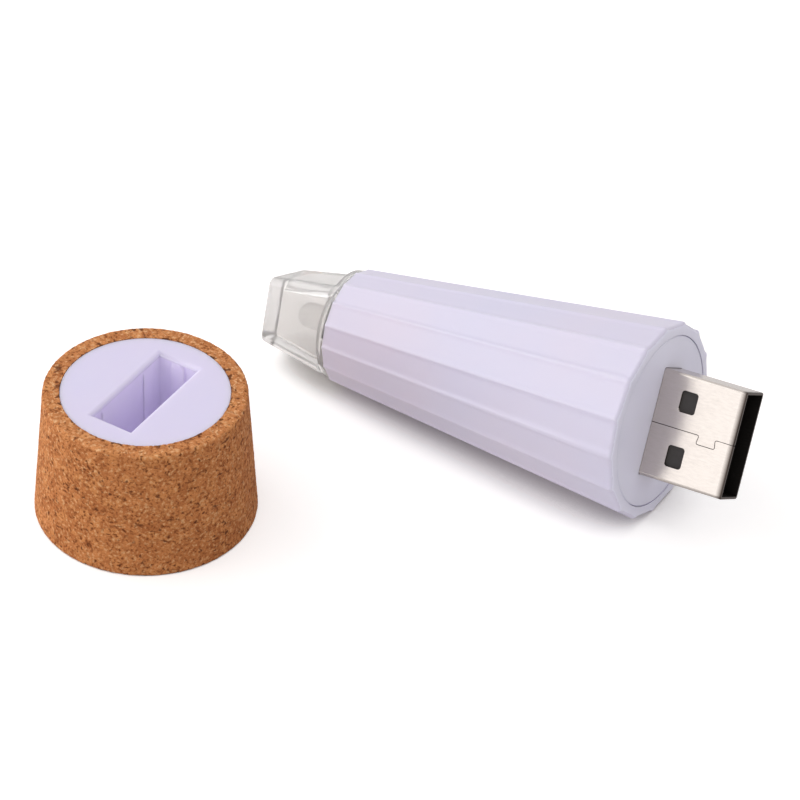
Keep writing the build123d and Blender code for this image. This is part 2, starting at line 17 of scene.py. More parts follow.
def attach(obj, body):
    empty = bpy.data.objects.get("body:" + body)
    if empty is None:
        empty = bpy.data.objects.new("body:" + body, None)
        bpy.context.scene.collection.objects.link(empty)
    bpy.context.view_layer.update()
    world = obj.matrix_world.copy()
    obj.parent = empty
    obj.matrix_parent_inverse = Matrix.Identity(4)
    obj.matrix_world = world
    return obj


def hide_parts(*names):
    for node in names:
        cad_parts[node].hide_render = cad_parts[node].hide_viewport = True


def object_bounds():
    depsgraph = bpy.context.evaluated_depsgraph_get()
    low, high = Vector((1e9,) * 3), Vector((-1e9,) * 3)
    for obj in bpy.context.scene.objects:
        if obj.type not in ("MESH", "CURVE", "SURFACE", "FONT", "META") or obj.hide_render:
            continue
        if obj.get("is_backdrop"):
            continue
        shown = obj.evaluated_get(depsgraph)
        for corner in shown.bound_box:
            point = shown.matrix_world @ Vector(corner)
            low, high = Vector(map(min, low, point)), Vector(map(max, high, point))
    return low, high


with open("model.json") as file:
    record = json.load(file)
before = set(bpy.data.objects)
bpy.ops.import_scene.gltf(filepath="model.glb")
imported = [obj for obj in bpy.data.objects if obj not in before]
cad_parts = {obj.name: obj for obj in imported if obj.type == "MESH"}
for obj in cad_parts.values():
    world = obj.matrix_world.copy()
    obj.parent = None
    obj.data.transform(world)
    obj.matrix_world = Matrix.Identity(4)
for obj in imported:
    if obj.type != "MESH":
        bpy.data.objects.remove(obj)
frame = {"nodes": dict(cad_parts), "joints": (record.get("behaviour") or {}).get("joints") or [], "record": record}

MM = 0.001
nodes = frame["nodes"]
cad_box = [list(corner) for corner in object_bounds()]

# %% [markdown]
# ## Camera
# The camera stands where the photographer stood. Its angles, distance and lens were found by fitting
# the outlines of the plug, the rims and the cap, so the model falls on the same pixels. A camera can
# be turned with three angles, but a matrix made of its right, up and back directions is easier to
# check: each column is one direction in the room.

# %% Camera
CAMERA_TARGET = Vector((18.662, 22.287, 8.0)) * MM
CAMERA_DISTANCE = 450.0 * MM
CAMERA_AZIMUTH = math.radians(30.271)
CAMERA_ELEVATION = math.radians(39.102)
CAMERA_ROLL = math.radians(2.431)
FOCAL_PIXELS = 4074.8
IMAGE_PIXELS = 800
SENSOR_WIDTH = 36.0
NEAR_CLIP = 0.01
FAR_CLIP = 20.0

back = Vector((math.sin(CAMERA_AZIMUTH) * math.cos(CAMERA_ELEVATION),
               -math.cos(CAMERA_AZIMUTH) * math.cos(CAMERA_ELEVATION), math.sin(CAMERA_ELEVATION)))
level = Vector((math.cos(CAMERA_AZIMUTH), math.sin(CAMERA_AZIMUTH), 0.0))
rise = back.cross(level)
right = level * math.cos(CAMERA_ROLL) + rise * math.sin(CAMERA_ROLL)
up = rise * math.cos(CAMERA_ROLL) - level * math.sin(CAMERA_ROLL)

bpy.ops.object.select_all(action="DESELECT")
bpy.ops.object.camera_add()
camera = bpy.context.object
camera.name = "photo_camera"
turn = Matrix((right, up, back)).transposed().to_4x4()
camera.matrix_world = Matrix.Translation(CAMERA_TARGET + back * CAMERA_DISTANCE) @ turn
camera.data.sensor_width = SENSOR_WIDTH
camera.data.lens = FOCAL_PIXELS / IMAGE_PIXELS * SENSOR_WIDTH
camera.data.clip_start = NEAR_CLIP
camera.data.clip_end = FAR_CLIP
bpy.context.scene.camera = camera
print("camera lens", round(camera.data.lens, 1), "mm")

# %% [markdown]
# ## Small helpers for values
# A material is a tree of nodes, and two kinds of node come back all the time. A Math node joins two
# values, and a Map Range node stretches a value from one range to another. Adding and linking one takes
# four or five lines, so each gets a helper that takes sockets or plain numbers and returns its result.

# %% Helpers for values
def maths(tree, operation, first, second):
    """Result of a sum on two values. Each may be a socket or a plain number."""
    node = tree.nodes.new("ShaderNodeMath")
    node.operation = operation
    for index, value in enumerate((first, second)):
        if isinstance(value, (int, float)):
            node.inputs[index].default_value = value
        else:
            tree.links.new(value, node.inputs[index])
    return node.outputs[0]


def stretch(tree, value, low, high, to_low=0.0, to_high=1.0):
    """Value stretched from one range to another, and held inside it."""
    node = tree.nodes.new("ShaderNodeMapRange")
    tree.links.new(value, node.inputs["Value"])
    for name, number in (("From Min", low), ("From Max", high), ("To Min", to_low), ("To Max", to_high)):
        if isinstance(number, (int, float)):
            node.inputs[name].default_value = number
        else:
            tree.links.new(number, node.inputs[name])
    return node.outputs["Result"]


def seen_rays(tree, gloss=1.0, clear=1.0):
    """Value that is 1 for camera rays, a share for rays off a gloss or through clear plastic, else 0."""
    path = tree.nodes.new("ShaderNodeLightPath").outputs
    value = path["Is Camera Ray"]
    for name, share in (("Is Glossy Ray", gloss), ("Is Transmission Ray", clear)):
        value = maths(tree, "MAXIMUM", value, maths(tree, "MULTIPLY", path[name], share))
    return value


print("helpers:", maths.__name__, stretch.__name__, seen_rays.__name__)

# %% [markdown]
# ## Floor
# A product photograph on white has a wide pale floor, overexposed so that only the shadow right under the
# object is left. A floor that really is that bright would also throw a lot of light up at the object, more
# than the photograph shows on the cork's sides. So the floor is a pale grey sheet with a glow that only
# some rays meet, which the Light Path node tells: the camera's in full, those that come through the clear
# tip for the greater part, and mirrored ones for a small part. Light that bounces off the floor meets
# the grey sheet alone. The glow is held back where the object covers the floor, which the Ambient
# Occlusion node tells, so the floor keeps the shadow in which the light lies.

# %% Floor
FLOOR_SIZE = 6.0
FLOOR_COLOUR = (0.78, 0.755, 0.745, 1.0)
FLOOR_LIFT = 0.5
WHITE = (1.0, 1.0, 1.0, 1.0)
GLOSS_SHARE = 0.3
CLEAR_SHARE = 0.7
COVER_REACH = 14.0 * MM
COVER_DARK = 0.25
COVER_OPEN = 0.50
COVER_SAMPLES = 8

bpy.ops.object.select_all(action="DESELECT")
bpy.ops.mesh.primitive_plane_add(size=FLOOR_SIZE, location=(0.0, 0.0, 0.0))
floor = bpy.context.object
floor.name = "floor"
floor_paint = bpy.data.materials.new("floor_white")
floor_paint.use_nodes = True
floor_tree = floor_paint.node_tree
floor_shader = floor_tree.nodes["Principled BSDF"]
floor_shader.inputs["Roughness"].default_value = 1.0
floor_shader.inputs["Specular IOR Level"].default_value = 0.0
floor_shader.inputs["Base Color"].default_value = FLOOR_COLOUR
floor_shader.inputs["Emission Color"].default_value = WHITE
cover = floor_tree.nodes.new("ShaderNodeAmbientOcclusion")
cover.inputs["Distance"].default_value = COVER_REACH
cover.samples = COVER_SAMPLES
open_floor = stretch(floor_tree, cover.outputs["AO"], COVER_DARK, COVER_OPEN, 0.0, FLOOR_LIFT)
open_floor.node.interpolation_type = "SMOOTHSTEP"
floor_glow = maths(floor_tree, "MULTIPLY", seen_rays(floor_tree, GLOSS_SHARE, CLEAR_SHARE), open_floor)
floor_tree.links.new(floor_glow, floor_shader.inputs["Emission Strength"])
floor.data.materials.append(floor_paint)
floor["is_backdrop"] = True
print("floor", FLOOR_SIZE, "m square")

# %% [markdown]
# ## Room
# The room is an even white glow, as in a light tent. White walls could be built for it, but a world of
# one colour does the same. It is white to the camera and in reflections, and lights the object at a
# lower level, so that a colour renders about as it is written.

# %% Room
ROOM_LEVEL = 0.69

world = bpy.data.worlds.new("light_tent")
bpy.context.scene.world = world
world.use_nodes = True
room = world.node_tree
wall = room.nodes["Background"]
wall.inputs["Color"].default_value = WHITE
room.links.new(stretch(room, seen_rays(room), 0.0, 1.0, ROOM_LEVEL, 1.0), wall.inputs["Strength"])
bpy.context.scene.view_settings.view_transform = "Standard"
print("room level", ROOM_LEVEL)

# %% [markdown]
# ## Lamps
# A large soft box from the left gives the cork its brighter left side. A weaker one stands low in front,
# where the plug's wide face mirrors it, so the steel shines next to the darker mirror image of the disc.
# The third only fills the end with the plug. An area lamp is itself a soft box: its size softens the
# shadow, and a rotation that tracks its aim turns it to the object.

# %% Lamps
LAMP_AIM = Vector((0.02, 0.02, 0.0))
LAMPS = (
    {"name": "key_box", "place": (-0.56, -0.12, 0.36), "size": 0.8, "power": 2.6},
    {"name": "front_box", "place": (-0.40, -0.62, 0.28), "size": 0.55, "power": 0.80},
    {"name": "fill_box", "place": (0.30, -0.70, 0.22), "size": 0.6, "power": 0.30},
)

for row in LAMPS:
    bpy.ops.object.select_all(action="DESELECT")
    bpy.ops.object.light_add(type="AREA", location=row["place"])
    lamp = bpy.context.object
    lamp.name = row["name"]
    lamp.data.shape = "SQUARE"
    lamp.data.size = row["size"]
    lamp.data.energy = row["power"]
    lamp.rotation_euler = (LAMP_AIM - Vector(row["place"])).to_track_quat("-Z", "Y").to_euler()

# %% [markdown]
# ## Moulded plastic
# Moulded plastic looks plain, but it is never one flat colour: the pigment drifts a little over a few
# millimetres, the gloss varies with the mould's polish, and a fine orange-peel breaks the highlights.
# All the plastics here share that, so it is a node group with its own inputs, placed in each material
# with that material's colours. It reads Object coordinates, so it stays put on the piece. Noise mostly
# lies in its middle range, which is stretched to the whole of a colour's or gloss's range.

# %% Moulded skin group
NOISE_LOW = 0.3
NOISE_HIGH = 0.7
POLISH_SCALE = 700.0


def add_socket(group, name, direction, kind, value=None):
    """Named input or output on a node group."""
    socket = group.interface.new_socket(name=name, in_out=direction, socket_type="NodeSocket" + kind)
    if value is not None:
        socket.default_value = value
    return socket


def noise(tree, vector, scale, detail, roughness=0.5):
    """Noise texture on a vector, whose value comes out as its first output."""
    texture = tree.nodes.new("ShaderNodeTexNoise")
    texture.inputs["Detail"].default_value = detail
    texture.inputs["Roughness"].default_value = roughness
    tree.links.new(vector, texture.inputs["Vector"])
    if isinstance(scale, (int, float)):
        texture.inputs["Scale"].default_value = scale
    else:
        tree.links.new(scale, texture.inputs["Scale"])
    return texture.outputs[0]


def blend(tree, factor, first, second):
    """Colour between two colours. Each may be a socket or plain numbers."""
    node = tree.nodes.new("ShaderNodeMix")
    node.data_type = "RGBA"
    tree.links.new(factor, node.inputs["Factor"])
    for name, colour in (("A", first), ("B", second)):
        if isinstance(colour, tuple):
            node.inputs[name].default_value = (*colour, 1.0)
        else:
            tree.links.new(colour, node.inputs[name])
    return node.outputs["Result"]


def moulded_skin_group():
    """Pigment drift, gloss drift and orange-peel of moulded plastic."""
    group = bpy.data.node_groups.new("moulded_skin", "ShaderNodeTree")
    add_socket(group, "Colour", "INPUT", "Color")
    add_socket(group, "Drift Colour", "INPUT", "Color")
    add_socket(group, "Drift Scale", "INPUT", "Float", 90.0)
    add_socket(group, "Gloss Low", "INPUT", "Float", 0.25)
    add_socket(group, "Gloss High", "INPUT", "Float", 0.4)
    add_socket(group, "Peel Scale", "INPUT", "Float", 2500.0)
    add_socket(group, "Colour", "OUTPUT", "Color")
    add_socket(group, "Roughness", "OUTPUT", "Float")
    add_socket(group, "Height", "OUTPUT", "Float")
    given = group.nodes.new("NodeGroupInput").outputs
    made = group.nodes.new("NodeGroupOutput").inputs
    place = group.nodes.new("ShaderNodeTexCoord").outputs["Object"]
    drift = stretch(group, noise(group, place, given["Drift Scale"], 3.0), NOISE_LOW, NOISE_HIGH)
    group.links.new(blend(group, drift, given["Colour"], given["Drift Colour"]), made["Colour"])
    polish = stretch(group, noise(group, place, POLISH_SCALE, 4.0), NOISE_LOW, NOISE_HIGH,
                     given["Gloss Low"], given["Gloss High"])
    group.links.new(polish, made["Roughness"])
    group.links.new(noise(group, place, given["Peel Scale"], 2.0), made["Height"])
    return group


moulded_skin = moulded_skin_group()
print("group", moulded_skin.name, [item.name for item in moulded_skin.interface.items_tree])

# %% [markdown]
# ## Making a plastic
# Each plastic gets its two close colours, its range of gloss and the strength of its orange-peel. A milky
# plastic also lets light in: subsurface scattering carries it a millimetre or so through the wall before
# it comes out again, which softens edges. The values of the group are set once here, for every plastic.

# %% Plastic maker
PEEL_DEPTH = 0.02 * MM
MILKY_SPREAD = (1.0, 0.92, 1.0)


def new_finish(name):
    """Empty material and its main shader."""
    finish = bpy.data.materials.new(name)
    finish.use_nodes = True
    return finish, finish.node_tree, finish.node_tree.nodes["Principled BSDF"]


def bump(tree, shader, height, strength, distance):
    """Fine relief on the shader's normal, from a height."""
    node = tree.nodes.new("ShaderNodeBump")
    node.inputs["Strength"].default_value = strength
    node.inputs["Distance"].default_value = distance
    tree.links.new(height, node.inputs["Height"])
    tree.links.new(node.outputs["Normal"], shader.inputs["Normal"])


def plastic(name, colour, drift_colour, gloss, drift_scale=90.0, peel_scale=2500.0, peel=0.06,
            milky=0.0, depth=1.6, shine=0.5):
    """Moulded plastic from two close colours and a range of roughness. Milky plastic lets light in."""
    finish, tree, shader = new_finish(name)
    shader.inputs["Specular IOR Level"].default_value = shine
    shader.inputs["Subsurface Weight"].default_value = milky
    shader.inputs["Subsurface Radius"].default_value = MILKY_SPREAD
    shader.inputs["Subsurface Scale"].default_value = depth * MM
    skin = tree.nodes.new("ShaderNodeGroup")
    skin.node_tree = moulded_skin
    skin.inputs["Colour"].default_value = (*colour, 1.0)
    skin.inputs["Drift Colour"].default_value = (*drift_colour, 1.0)
    skin.inputs["Drift Scale"].default_value = drift_scale
    skin.inputs["Gloss Low"].default_value = gloss[0]
    skin.inputs["Gloss High"].default_value = gloss[1]
    skin.inputs["Peel Scale"].default_value = peel_scale
    tree.links.new(skin.outputs["Colour"], shader.inputs["Base Color"])
    tree.links.new(skin.outputs["Roughness"], shader.inputs["Roughness"])
    bump(tree, shader, skin.outputs["Height"], peel, PEEL_DEPTH)
    finishes[name] = finish


finishes = {}
print("plastic maker ready")

# %% [markdown]
# ## Lilac plastics
# These are the plastics that the photograph shows. The lilac is almost white, slightly pinker in places, and
# satin. The shell has to pass the lamp's light, so it is milky. The insert is the same plastic, a little deeper
# and more matt. The end disc and the rim round it are paler and less pink: the tint is the disc's own, the extra
# paleness is painted light on their shaded end. The walls of the slot are a paler, bluer copy of the insert's
# plastic, painted light for the light that bounces in the slot and crosses its milky walls. Their ranges of gloss
# stay above about 0.27: below it the denoiser takes a surface for a mirror, and a range that crosses it leaves
# specks.

# %% Lilac plastics
plastic("lilac_plastic", (0.68, 0.655, 0.81), (0.715, 0.655, 0.785), (0.29, 0.35), 60.0,
        peel=0.02, milky=0.3, depth=1.4)
plastic("insert_plastic", (0.755, 0.695, 0.885), (0.74, 0.695, 0.895), (0.38, 0.52),
        peel=0.02, milky=0.6, depth=0.9)
# Painted light: the slot's walls are a paler, bluer copy of the insert's plastic.
plastic("insert_walls", (0.80, 0.735, 0.95), (0.79, 0.735, 0.955), (0.38, 0.52),
        peel=0.02, milky=0.6, depth=0.9)
# Paler than the shell: a less pink tint of its own, with painted light on its shaded end.
plastic("disc_plastic", (0.80, 0.785, 0.955), (0.81, 0.79, 0.945), (0.30, 0.38), 60.0,
        peel=0.02, milky=0.3, depth=1.4)
print("plastics:", sorted(finishes))

# %% [markdown]
# The slot is deep, and little light from the room reaches its walls. On the real cap they are lit from
# behind, by light that has crossed the milky plastic. A faint lilac glow stands in for that, because
# scattering over so long a way would take many samples.

# %% Glow of the slot's walls
WALL_GLOW = (0.28, 0.25, 0.30, 1.0)
WALL_GLOW_LEVEL = 0.15

wall_shader = finishes["insert_walls"].node_tree.nodes["Principled BSDF"]
wall_shader.inputs["Emission Color"].default_value = WALL_GLOW
wall_shader.inputs["Emission Strength"].default_value = WALL_GLOW_LEVEL
print("slot walls glow at", WALL_GLOW_LEVEL)

# %% [markdown]
# ## Plastics of the inside
# The plug's tongue is black, and dull, so that the sleeve's windows look like holes. The rest is hidden in
# the body, but anyone who opens it finds a green board with its parts, two wires, a white carrier and a
# foam pad. They are moulded or dipped too, so the same maker serves them all.

# %% Plastics of the inside
plastic("black_plastic", (0.050, 0.045, 0.043), (0.060, 0.054, 0.052), (0.5, 0.65), shine=0.3)
plastic("white_plastic", (0.78, 0.77, 0.75), (0.74, 0.74, 0.72), (0.4, 0.55))
plastic("chip_black", (0.022, 0.022, 0.024), (0.035, 0.034, 0.034), (0.5, 0.7))
plastic("resistor_black", (0.018, 0.018, 0.02), (0.03, 0.03, 0.03), (0.25, 0.4))
plastic("capacitor_tan", (0.30, 0.19, 0.10), (0.25, 0.16, 0.09), (0.45, 0.6), 900.0)
plastic("board_green", (0.012, 0.10, 0.045), (0.02, 0.13, 0.05), (0.2, 0.35), 400.0)
plastic("pad_foam", (0.75, 0.74, 0.70), (0.66, 0.65, 0.62), (0.85, 0.95), 1500.0, 3500.0, 0.6)
plastic("lead_red", (0.42, 0.012, 0.010), (0.36, 0.016, 0.012), (0.3, 0.45))
plastic("lead_black", (0.012, 0.012, 0.012), (0.02, 0.02, 0.02), (0.3, 0.45))
plastic("indicator_red", (0.60, 0.06, 0.04), (0.52, 0.05, 0.04), (0.12, 0.22))
print("plastics:", len(finishes))

# %% [markdown]
# ## Drawn metal
# The plug's sleeve is folded from plated strip, which carries fine lines along the way it was rolled.
# The lines come from noise that is stretched: the coordinates are turned to the light's axis and
# squeezed along it, so that a spot of noise becomes a streak. The same group serves the steel, the
# brass springs, the gold contacts and the cell's foil.

# %% Drawn metal group
STREAK_STRETCH = (5.0, 1.0, 1.0)
STREAK_SCALE = 6000.0
STREAK_RANGE = (0.35, 0.75)
PATCH_SCALE = 450.0
PATCH_RANGE = (0.25, 0.7)
PATCH_LEAST = 0.3

twist = next(joint for joint in frame["joints"] if joint["name"] == "core_twist")
wide_end = Vector(twist["pos_m"])
inward = Vector(twist["axis"])
axis_tilt = math.atan2(inward.z, inward.x) - math.pi


def drawn_metal_group():
    """Fine streaks along the light's axis, with a drift of colour and gloss."""
    group = bpy.data.node_groups.new("drawn_metal", "ShaderNodeTree")
    add_socket(group, "Colour", "INPUT", "Color")
    add_socket(group, "Streak Colour", "INPUT", "Color")
    add_socket(group, "Gloss Low", "INPUT", "Float", 0.2)
    add_socket(group, "Gloss High", "INPUT", "Float", 0.35)
    add_socket(group, "Colour", "OUTPUT", "Color")
    add_socket(group, "Roughness", "OUTPUT", "Float")
    add_socket(group, "Height", "OUTPUT", "Float")
    given = group.nodes.new("NodeGroupInput").outputs
    made = group.nodes.new("NodeGroupOutput").inputs
    place = group.nodes.new("ShaderNodeTexCoord").outputs["Object"]
    along = group.nodes.new("ShaderNodeMapping")
    along.vector_type = "TEXTURE"
    along.inputs["Rotation"].default_value = (0.0, -axis_tilt, 0.0)
    along.inputs["Scale"].default_value = STREAK_STRETCH
    group.links.new(place, along.inputs["Vector"])
    streaks = noise(group, along.outputs["Vector"], STREAK_SCALE, 4.0, 0.6)
    patches = stretch(group, noise(group, place, PATCH_SCALE, 3.0), *PATCH_RANGE, PATCH_LEAST, 1.0)
    tone = maths(group, "MULTIPLY", stretch(group, streaks, *STREAK_RANGE), patches)
    group.links.new(blend(group, tone, given["Colour"], given["Streak Colour"]), made["Colour"])
    gloss = stretch(group, streaks, NOISE_LOW, NOISE_HIGH, given["Gloss Low"], given["Gloss High"])
    group.links.new(gloss, made["Roughness"])
    group.links.new(streaks, made["Height"])
    return group


drawn_metal = drawn_metal_group()
print("group", drawn_metal.name, "tilt", round(math.degrees(axis_tilt), 2))

# %% [markdown]
# ## Metal finishes
# The sleeve is plated steel, a warm grey that only looks white where it mirrors the lamp. Its inside is dull, and
# its near-black colour is painted shade. The other metals are hidden, but they keep their own colours for anyone
# who opens the body.

# %% Metal finishes
STREAK_DEPTH = 0.01 * MM


def metal(name, colour, streak_colour, gloss, relief=0.05):
    """Drawn metal from its colour, the colour of its streaks and a range of roughness."""
    finish, tree, shader = new_finish(name)
    shader.inputs["Metallic"].default_value = 1.0
    drawn = tree.nodes.new("ShaderNodeGroup")
    drawn.node_tree = drawn_metal
    drawn.inputs["Colour"].default_value = (*colour, 1.0)
    drawn.inputs["Streak Colour"].default_value = (*streak_colour, 1.0)
    drawn.inputs["Gloss Low"].default_value = gloss[0]
    drawn.inputs["Gloss High"].default_value = gloss[1]
    tree.links.new(drawn.outputs["Colour"], shader.inputs["Base Color"])
    tree.links.new(drawn.outputs["Roughness"], shader.inputs["Roughness"])
    bump(tree, shader, drawn.outputs["Height"], relief, STREAK_DEPTH)
    finishes[name] = finish


metal("plated_steel", (0.57, 0.52, 0.485), (0.525, 0.475, 0.44), (0.18, 0.265), 0.35)
# Painted shade: the sleeve's inside is dull metal made near black.
metal("sleeve_inside", (0.030, 0.026, 0.024), (0.020, 0.018, 0.017), (0.5, 0.65))
metal("spring_brass", (0.72, 0.52, 0.22), (0.60, 0.42, 0.17), (0.2, 0.35))
metal("contact_gold", (0.85, 0.60, 0.22), (0.75, 0.50, 0.18), (0.15, 0.25))
metal("tinned_steel", (0.72, 0.72, 0.71), (0.62, 0.62, 0.61), (0.25, 0.4))
metal("screw_steel", (0.56, 0.56, 0.57), (0.46, 0.46, 0.47), (0.25, 0.4))
metal("cell_foil", (0.70, 0.71, 0.73), (0.62, 0.63, 0.65), (0.3, 0.45), 0.15)
print("metals added, finishes:", len(finishes))

# %% [markdown]
# The sleeve's cut end is rolled in a little. A painted dark reflection stands for that: over the last half
# millimetre the steel's colour darkens towards the mouth. The distance from the mouth is the dot product of the
# place and the light's axis, and it drives a blend from the steel's colour to the painted dark one.

# %% Plug mouth, painted dark reflection
PLUG_LENGTH = 10.0 * MM
LIP_SHADE = 0.7 * MM
LIP_DARK = 0.1 * MM
LIP_AMOUNT = 0.95
LIP_PAINTED_DARK = (0.05, 0.036, 0.03)

steel_tree = finishes["plated_steel"].node_tree
steel_base = steel_tree.nodes["Principled BSDF"].inputs["Base Color"]
reach = steel_tree.nodes.new("ShaderNodeVectorMath")
reach.operation = "DOT_PRODUCT"
reach.inputs[1].default_value = -inward
steel_tree.links.new(steel_tree.nodes.new("ShaderNodeTexCoord").outputs["Object"], reach.inputs[0])
mouth = wide_end.dot(-inward) + PLUG_LENGTH
# Painted dark reflection: the steel's colour darkens towards the mouth.
painted_lip = stretch(steel_tree, reach.outputs["Value"], mouth - LIP_SHADE, mouth - LIP_DARK, 0.0, LIP_AMOUNT)
steel_tree.links.new(blend(steel_tree, painted_lip, steel_base.links[0].from_socket, LIP_PAINTED_DARK), steel_base)
print("plug's mouth at", round(mouth / MM, 2), "mm along the axis")

# %% [markdown]
# ## Clear plastic
# The tip is clear plastic that spreads the lamp's light. Pure transmission would look like cut glass, so a part of
# it is white and its surface has a slight haze: what lies behind it looks soft and pale. The lamp inside is
# clearer, and its grey tint is painted shade, so that it shows as a darker round form. Faint flow marks from
# moulding vary the roughness.

# %% Clear finishes
CLEAR_IOR = 1.47
FLOW_RELIEF = 0.10
FLOW_DEPTH = 0.004 * MM


def clear(name, colour, rough, flow_scale, through):
    """Clear plastic with flow marks in its polish. The share of light that goes through is through."""
    finish, tree, shader = new_finish(name)
    shader.inputs["Base Color"].default_value = (*colour, 1.0)
    shader.inputs["Transmission Weight"].default_value = through
    shader.inputs["IOR"].default_value = CLEAR_IOR
    flow = noise(tree, tree.nodes.new("ShaderNodeTexCoord").outputs["Object"], flow_scale, 3.0)
    tree.links.new(stretch(tree, flow, NOISE_LOW, NOISE_HIGH, rough[0], rough[1]), shader.inputs["Roughness"])
    bump(tree, shader, flow, FLOW_RELIEF, FLOW_DEPTH)
    finishes[name] = finish


clear("clear_plastic", (0.99, 0.975, 0.965), (0.09, 0.16), 350.0, 0.78)
# Painted shade: a grey tint darkens the lamp's lens.
clear("led_clear", (0.76, 0.75, 0.74), (0.03, 0.06), 900.0, 0.92)
print("clear finishes added, finishes:", len(finishes))

# %% [markdown]
# ## Finishes on the solids
# The record says which slot each solid takes its finish from, so one loop dresses them all. Solids that a modelled
# piece will stand for get a finish too, which does no harm. The disc takes its own plastic: its less pink tint is
# its own, and its paleness is partly painted light.

# %% Dress the solids
for row in frame["record"]["subparts"]:
    solid = nodes[row["node"]]
    if row["material_slot"] in finishes:
        solid.data.materials.clear()
        solid.data.materials.append(finishes[row["material_slot"]])
# The disc's paler plastic is partly painted light.
nodes["end_disc"].data.materials[0] = finishes["disc_plastic"]
print("dressed", sum(1 for solid in nodes.values() if solid.data.materials))

# %% [markdown]
# ## Smooth copies of the solids
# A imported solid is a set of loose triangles. On gloss and clear plastic its small rounds show their
# facets. A copy whose doubles are merged can be shaded smooth: flat areas are dissolved into single
# faces, edges sharper than an angle stay crisp, and weighted normals keep the large flat faces flat
# while the rounds blend into them. Some copies have faces with a second finish, which a test on each
# face picks out.

# %% Smooth copies
MERGE_REACH = 0.0005 * MM
FLAT_LIMIT = math.radians(0.3)
CRISP_FROM = math.radians(40.0)


def smooth_copy(node, name, body, slot):
    """Merged, smoothly shaded copy of a solid, which stands for it."""
    bpy.ops.object.select_all(action="DESELECT")
    piece = bpy.data.objects.new(name, nodes[node].data.copy())
    bpy.context.scene.collection.objects.link(piece)
    piece.select_set(True)
    bpy.context.view_layer.objects.active = piece
    bpy.ops.object.mode_set(mode="EDIT")
    bpy.ops.mesh.select_all(action="SELECT")
    bpy.ops.mesh.remove_doubles(threshold=MERGE_REACH)
    bpy.ops.mesh.dissolve_limited(angle_limit=FLAT_LIMIT)
    bpy.ops.object.mode_set(mode="OBJECT")
    bpy.ops.object.shade_smooth_by_angle(angle=CRISP_FROM)
    even = piece.modifiers.new("even_faces", "WEIGHTED_NORMAL")
    even.keep_sharp = True
    bpy.ops.object.modifier_apply(modifier=even.name)
    piece.data.materials.clear()
    piece.data.materials.append(finishes[slot])
    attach(piece, body)
    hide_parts(node)
    print(name, "stands for", node, "with", len(piece.data.polygons), "faces")
    return piece


def second_finish(piece, finish, test):
    """Give the faces of a piece that pass a test another finish."""
    piece.data.materials.append(finishes[finish])
    chosen = [face for face in piece.data.polygons if test(face)]
    for face in chosen:
        face.material_index = 1
    print(piece.name, "has", len(chosen), "faces of", finish)


print("points merge within", round(MERGE_REACH / MM, 4), "mm")

# %% [markdown]
# ## Shell, tip and lamp
# The shell is one moulding, and its rim, the faces that look out past the plug, takes the disc's paler plastic as
# painted light on that shaded end. The clear tip and the lamp inside it need no more than smooth rounds: their
# look comes from the clear finishes.

# %% Shell, tip and lamp
RIM_FACING = 0.8

flute_body = smooth_copy("fluted_shell", "flute_body", "housing", "lilac_plastic")
# Painted light: the rim faces of the shell take the disc's paler plastic.
second_finish(flute_body, "disc_plastic", lambda face: face.normal.dot(inward) < -RIM_FACING)
smooth_copy("clear_tip", "tip_glass", "housing", "clear_plastic")
smooth_copy("led_lamp", "lamp_lens", "core", "led_clear")

# %% [markdown]
# ## Plug sleeve and cap liner
# The sleeve is bright outside and dull inside, so its inner faces, which look at the light's axis, get the dull
# metal, darkened with painted shade. In the cap's insert the faces of the slot get the paler, bluer plastic of
# painted light, up to the slot's rounded edge. Their places tell them from the other faces, because the cap stands
# at the origin.

# %% Plug sleeve and cap liner
INNER_REACH = 1.0 * MM
SLOT_HALF_WIDTH = 2.5 * MM
SLOT_HALF_LENGTH = 6.35 * MM
SLOT_WALL_TOP = 15.1 * MM


def looks_at_axis(face):
    """True where a face looks at the light's axis from more than a small distance."""
    from_axis = face.center - wide_end
    from_axis -= inward * from_axis.dot(inward)
    return face.normal.dot(from_axis) < -INNER_REACH


def in_slot(face):
    """True for the faces of the cap's slot."""
    centre = face.center
    return abs(centre.x) < SLOT_HALF_WIDTH and abs(centre.y) < SLOT_HALF_LENGTH and centre.z < SLOT_WALL_TOP


plug_sleeve = smooth_copy("usb_shell", "plug_sleeve", "core", "plated_steel")
# The inner faces take the near-black painted shade.
second_finish(plug_sleeve, "sleeve_inside", looks_at_axis)
cap_liner = smooth_copy("cap_insert", "cap_liner", "cap", "insert_plastic")
second_finish(cap_liner, "insert_walls", in_slot)

# %% [markdown]
# ## Cork cap: the blank
# The cap is ground bark pressed with a binder and turned to a taper. It could be a plain solid with a
# pattern painted on, but its outline would stay too clean: real cork has a nibbled edge. So it is
# modelled afresh as a dense tube that can take relief. A cylinder is narrowed at the top, its rims are
# rounded, rings are inset on the top face until the bore is reached, and the bore is pushed down. The
# bore is a trifle tighter than the solid's, so that no dark line shows round the insert.

# %% Cork blank
CAP_HEIGHT = 15.8 * MM
CAP_TOP = 11.1 * MM
CAP_BASE = 12.3 * MM
CAP_EDGE = 0.3 * MM
BORE = 9.21 * MM
BORE_DEPTH = 12.4 * MM
CAP_SIDES = 400
EDGE_SEGMENTS = 4
TOP_RINGS = 5
LEVEL_SLACK = 0.001 * MM
FACES_UP = 0.9


def choose(kind, test):
    """Select, in edit mode, the faces or edges that pass a test."""
    bpy.ops.mesh.select_mode(type=kind)
    bpy.ops.mesh.select_all(action="DESELECT")
    mesh = bpy.context.object.data
    cage = bmesh.from_edit_mesh(mesh)
    items = cage.faces if kind == "FACE" else cage.edges
    for item in items:
        if test(item):
            item.select_set(True)
    bmesh.update_edit_mesh(mesh)


def on_level(edge, z):
    """True where both ends of an edge lie at a height."""
    return all(abs(vert.co.z - z) < LEVEL_SLACK for vert in edge.verts)


